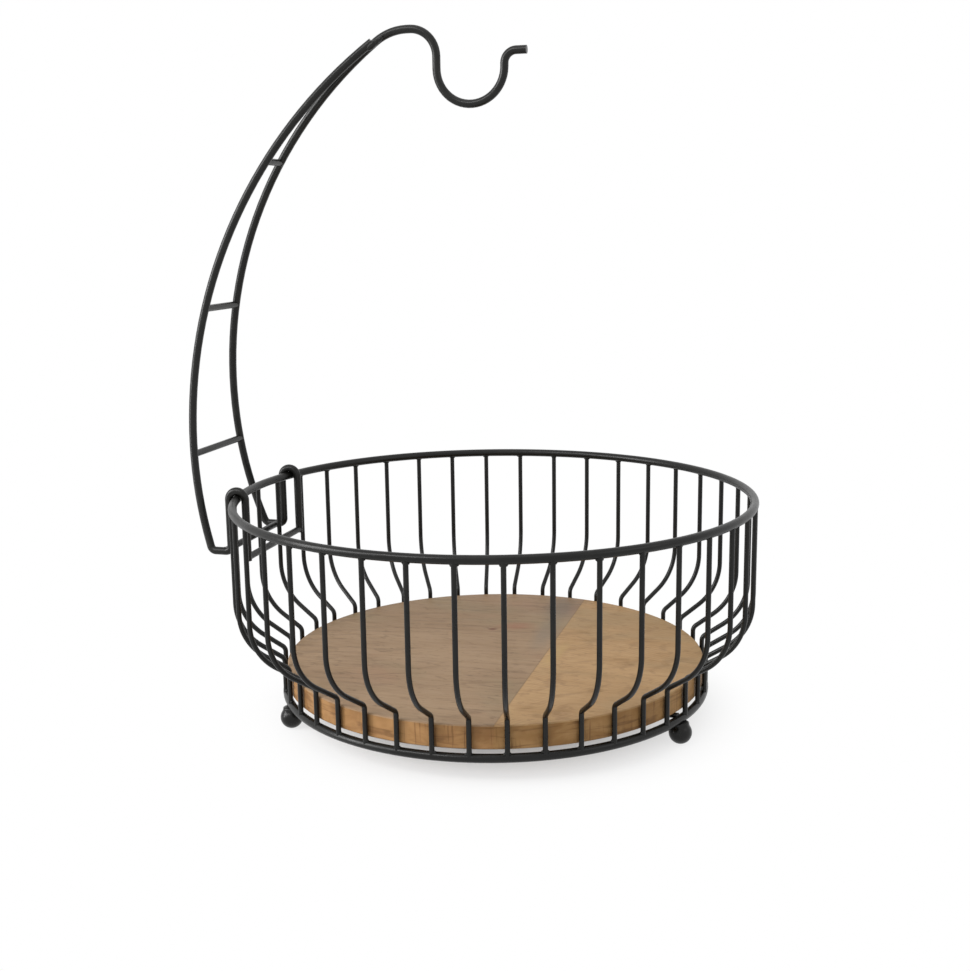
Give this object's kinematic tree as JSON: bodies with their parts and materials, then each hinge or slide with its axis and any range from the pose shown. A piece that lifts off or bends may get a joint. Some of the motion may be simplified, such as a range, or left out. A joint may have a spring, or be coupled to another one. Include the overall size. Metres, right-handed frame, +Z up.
{
  "type": "fruit bowl with banana hanger",
  "caption": "Round wire fruit basket with upright ribs, a wood base and ball feet; a ladder-shaped hanger hooks over the rim and arches to a banana hook.",
  "frame": {"origin": "middle of the bounding box in plan, on the plane the feet stand on", "axes": "+Z up, the hanger at -X with its centre plane on y = 0, +Y completes the right-handed frame"},
  "size_m": [0.3305, 0.3048, 0.3906],
  "materials": {
    "basket_wire": "satin black powder coat",
    "hanger_wire": "satin black powder coat",
    "wood_wide": "oiled, greyish brown",
    "wood_narrow": "oiled, light tan"
  },
  "bodies": {
    "root": {"top_rim": "basket_wire", "bottom_ring": "basket_wire", "rib_01": "basket_wire", "rib_02": "basket_wire", "rib_03": "basket_wire", "rib_04": "basket_wire", "rib_05": "basket_wire", "rib_06": "basket_wire", "rib_07": "basket_wire", "rib_08": "basket_wire", "rib_09": "basket_wire", "rib_10": "basket_wire", "rib_11": "basket_wire", "rib_12": "basket_wire", "rib_13": "basket_wire", "rib_14": "basket_wire", "rib_15": "basket_wire", "rib_16": "basket_wire", "rib_17": "basket_wire", "rib_18": "basket_wire", "rib_19": "basket_wire", "rib_20": "basket_wire", "rib_21": "basket_wire", "rib_22": "basket_wire", "rib_23": "basket_wire", "rib_24": "basket_wire", "rib_25": "basket_wire", "rib_26": "basket_wire", "rib_27": "basket_wire", "rib_28": "basket_wire", "rib_29": "basket_wire", "rib_30": "basket_wire", "rib_31": "basket_wire", "rib_32": "basket_wire", "rib_33": "basket_wire", "rib_34": "basket_wire", "rib_35": "basket_wire", "rib_36": "basket_wire", "rib_37": "basket_wire", "rib_38": "basket_wire", "rib_39": "basket_wire", "rib_40": "basket_wire", "wood_board_wide": "wood_wide", "wood_board_narrow": "wood_narrow", "support_wire_front": "basket_wire", "support_wire_back": "basket_wire", "foot_a": "basket_wire", "foot_b": "basket_wire", "foot_c": "basket_wire", "hanger_main_wire": "hanger_wire", "hanger_branch_wire": "hanger_wire", "rung_top": "hanger_wire", "rung_mid": "hanger_wire", "rung_low": "hanger_wire", "hanger_inner_bar": "hanger_wire", "hanger_outer_bar": "hanger_wire"}
  },
  "joints": []
}
